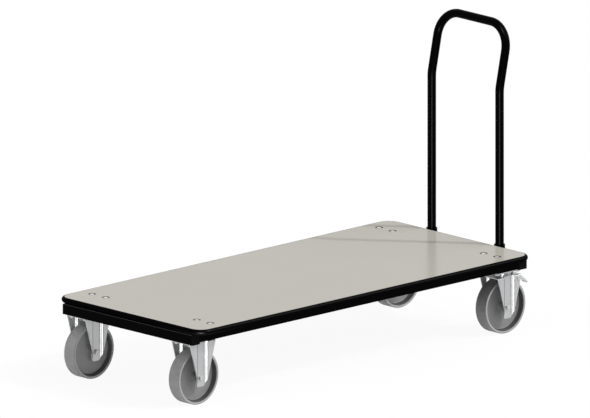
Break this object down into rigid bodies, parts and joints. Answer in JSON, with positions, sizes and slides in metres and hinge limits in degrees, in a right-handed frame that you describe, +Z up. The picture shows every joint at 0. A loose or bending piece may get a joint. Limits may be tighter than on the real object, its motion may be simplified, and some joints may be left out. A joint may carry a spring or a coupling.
{
  "type": "banquet table trolley",
  "caption": "Flat deck trolley for folded banquet tables: laminated board on a black tube frame, fixed castors in front, braked swivel castors behind and a bent tube push handle.",
  "frame": {"origin": "on the floor under the middle of the whole trolley", "axes": "+X along the deck towards the handle, +Y across it to the right as seen looking along +X from above with the left side at -Y, +Z up out of the deck"},
  "size_m": [1.4289, 0.6, 0.887],
  "materials": {
    "board": "raw plywood",
    "laminate": "satin light grey laminate",
    "trim": "satin black extrusion",
    "frame": "black powder coat",
    "black_plastic": "moulded black plastic",
    "zinc": "bright zinc plating on pressed steel",
    "nylon": "natural nylon",
    "wheel_body": "moulded grey plastic",
    "tyre": "grey elastic tread, non marking",
    "shoe": "hard black rubber"
  },
  "bodies": {
    "chassis": {"deck_board": "board", "deck_laminate": "laminate", "edge_trim": "trim", "front_cross_tube": "frame", "rear_cross_tube": "frame", "front_inner_tube": "frame", "rear_inner_tube": "frame", "left_side_rail": "frame", "right_side_rail": "frame", "tube_end_caps": "black_plastic", "bolt_cups": "black_plastic", "left_handle_socket": "frame", "right_handle_socket": "frame", "deck_bolts": "zinc", "deck_nuts": "zinc", "frame_bolts": "zinc", "weld_nuts": "zinc", "front_left_bracket": "zinc", "front_left_axle_bolt": "zinc", "front_left_axle_nut": "zinc", "front_left_axle_tube": "zinc", "front_right_bracket": "zinc", "front_right_axle_bolt": "zinc", "front_right_axle_nut": "zinc", "front_right_axle_tube": "zinc", "rear_left_top_plate": "zinc", "rear_left_kingpin": "zinc", "rear_left_balls": "zinc", "rear_right_top_plate": "zinc", "rear_right_kingpin": "zinc", "rear_right_balls": "zinc"},
    "handle": {"push_handle": "frame", "handle_end_plugs": "black_plastic"},
    "front_left_wheel": {"front_left_bush": "nylon", "front_left_wheel_core": "wheel_body", "front_left_tyre": "tyre"},
    "front_right_wheel": {"front_right_bush": "nylon", "front_right_wheel_core": "wheel_body", "front_right_tyre": "tyre"},
    "rear_left_swivel": {"rear_left_fork": "zinc", "rear_left_axle_bolt": "zinc", "rear_left_axle_nut": "zinc", "rear_left_axle_tube": "zinc", "rear_left_pedal_pin": "zinc"},
    "rear_left_wheel": {"rear_left_bush": "nylon", "rear_left_wheel_core": "wheel_body", "rear_left_tyre": "tyre"},
    "rear_left_pedal": {"rear_left_brake_pedal": "zinc", "rear_left_brake_shoe": "shoe"},
    "rear_right_swivel": {"rear_right_fork": "zinc", "rear_right_axle_bolt": "zinc", "rear_right_axle_nut": "zinc", "rear_right_axle_tube": "zinc", "rear_right_pedal_pin": "zinc"},
    "rear_right_wheel": {"rear_right_bush": "nylon", "rear_right_wheel_core": "wheel_body", "rear_right_tyre": "tyre"},
    "rear_right_pedal": {"rear_right_brake_pedal": "zinc", "rear_right_brake_shoe": "shoe"}
  },
  "joints": [
    {"name": "handle_lift", "type": "slide", "parent": "chassis", "child": "handle", "axis": [0, 0, 1], "range_m": [0, 0.08]},
    {"name": "front_left_wheel_spin", "type": "hinge", "parent": "chassis", "child": "front_left_wheel", "pos_m": [-0.63446, -0.216, 0.08], "axis": [0, 1, 0], "continuous": true},
    {"name": "front_right_wheel_spin", "type": "hinge", "parent": "chassis", "child": "front_right_wheel", "pos_m": [-0.63446, 0.216, 0.08], "axis": [0, 1, 0], "continuous": true},
    {"name": "rear_left_swivel_turn", "type": "hinge", "parent": "chassis", "child": "rear_left_swivel", "pos_m": [0.60954, -0.216, 0.1785], "axis": [0, 0, 1], "continuous": true},
    {"name": "rear_left_wheel_spin", "type": "hinge", "parent": "rear_left_swivel", "child": "rear_left_wheel", "pos_m": [0.59354, -0.216, 0.08], "axis": [0, 1, 0], "continuous": true},
    {"name": "rear_left_brake_tip", "type": "hinge", "parent": "rear_left_swivel", "child": "rear_left_pedal", "pos_m": [0.62954, -0.216, 0.16], "axis": [0, 1, 0], "range_deg": [0, 12]},
    {"name": "rear_right_swivel_turn", "type": "hinge", "parent": "chassis", "child": "rear_right_swivel", "pos_m": [0.60954, 0.216, 0.1785], "axis": [0, 0, 1], "continuous": true},
    {"name": "rear_right_wheel_spin", "type": "hinge", "parent": "rear_right_swivel", "child": "rear_right_wheel", "pos_m": [0.59354, 0.216, 0.08], "axis": [0, 1, 0], "continuous": true},
    {"name": "rear_right_brake_tip", "type": "hinge", "parent": "rear_right_swivel", "child": "rear_right_pedal", "pos_m": [0.62954, 0.216, 0.16], "axis": [0, 1, 0], "range_deg": [0, 12]}
  ]
}
